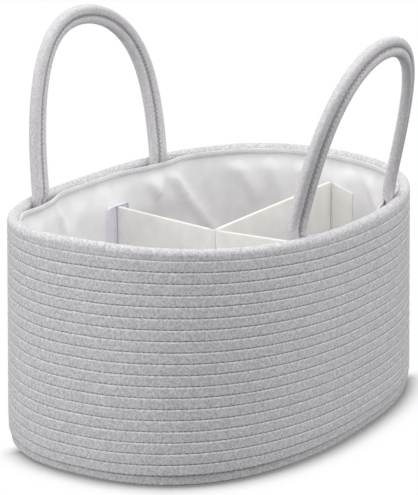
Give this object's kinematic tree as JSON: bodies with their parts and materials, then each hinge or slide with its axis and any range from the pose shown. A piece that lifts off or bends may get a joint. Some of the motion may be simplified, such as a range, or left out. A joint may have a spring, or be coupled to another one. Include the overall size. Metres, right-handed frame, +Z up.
{
  "type": "diaper caddy",
  "caption": "Oval coiled-rope caddy with a cloth lining, rope carrying handles on its long sides and a lift-out divider whose panels swing on a sewn seam.",
  "frame": {"origin": "middle of the flat underside of the base, on the surface that the caddy stands on", "axes": "+X along the basket's long axis towards the end panel's compartment wall, +Y across it towards the left handle, +Z up"},
  "size_m": [0.3984, 0.291, 0.3266],
  "materials": {
    "rope_cotton": "heathered light grey cotton rope, matt, finely knitted sleeve",
    "lining_cotton": "plain white woven lining cloth, matt, softly creased",
    "panel_cloth": "white cloth stretched over a stiff board, matt",
    "hook_tape": "faintly lilac white hook-and-loop tape",
    "seam_thread": "grey sewing thread, matt"
  },
  "bodies": {
    "basket": {"wall_rope": "rope_cotton", "base": "rope_cotton", "lining_wall": "lining_cotton", "lining_floor": "lining_cotton", "lining_hem": "lining_cotton", "hem_stitches": "seam_thread", "left_handle_front_foot_outer": "rope_cotton", "left_handle_front_foot_inner": "rope_cotton", "left_handle_back_foot_inner": "rope_cotton", "left_handle_back_foot_outer": "rope_cotton", "right_handle_front_foot_outer": "rope_cotton", "right_handle_front_foot_inner": "rope_cotton", "right_handle_back_foot_inner": "rope_cotton", "right_handle_back_foot_outer": "rope_cotton"},
    "left_handle": {"left_handle_outer_rope": "rope_cotton", "left_handle_inner_rope": "rope_cotton", "left_handle_seam_outside": "seam_thread", "left_handle_seam_inside": "seam_thread"},
    "right_handle": {"right_handle_outer_rope": "rope_cotton", "right_handle_inner_rope": "rope_cotton", "right_handle_seam_outside": "seam_thread", "right_handle_seam_inside": "seam_thread"},
    "divider": {"divider_centre_seam": "panel_cloth", "divider_end_panel": "panel_cloth", "divider_end_flap_fold": "panel_cloth"},
    "left_panel": {"divider_left_panel": "panel_cloth", "divider_left_hook_tab": "hook_tape"},
    "right_panel": {"divider_right_panel": "panel_cloth", "divider_right_hook_tab": "hook_tape"},
    "end_flap": {"divider_end_flap": "panel_cloth"}
  },
  "joints": [
    {"name": "left_handle_bend", "type": "hinge", "parent": "basket", "child": "left_handle", "pos_m": [0, 0.1121, 0.18631], "axis": [-1, 0, 0], "range_deg": [-50, 58], "stiffness_Nm_per_rad": 0.25, "springref_deg": -0.17},
    {"name": "right_handle_bend", "type": "hinge", "parent": "basket", "child": "right_handle", "pos_m": [0, -0.11395, 0.17951], "axis": [1, 0, 0], "range_deg": [-63.1, 44.9], "stiffness_Nm_per_rad": 0.25, "springref_deg": -1.06},
    {"name": "divider_lift", "type": "slide", "parent": "basket", "child": "divider", "axis": [0, 0, 1], "range_m": [0, 0.13]},
    {"name": "left_panel_swing", "type": "hinge", "parent": "divider", "child": "left_panel", "pos_m": [-0.003, 0.001, 0.0793], "axis": [0, 0, 1], "range_deg": [-38, 0]},
    {"name": "right_panel_swing", "type": "hinge", "parent": "divider", "child": "right_panel", "pos_m": [-0.003, 0.001, 0.0793], "axis": [0, 0, 1], "range_deg": [0, 48]},
    {"name": "end_flap_fold", "type": "hinge", "parent": "divider", "child": "end_flap", "pos_m": [0.17598, -0.01499, 0.08355], "axis": [0, 0, 1], "range_deg": [-80, 0]}
  ]
}
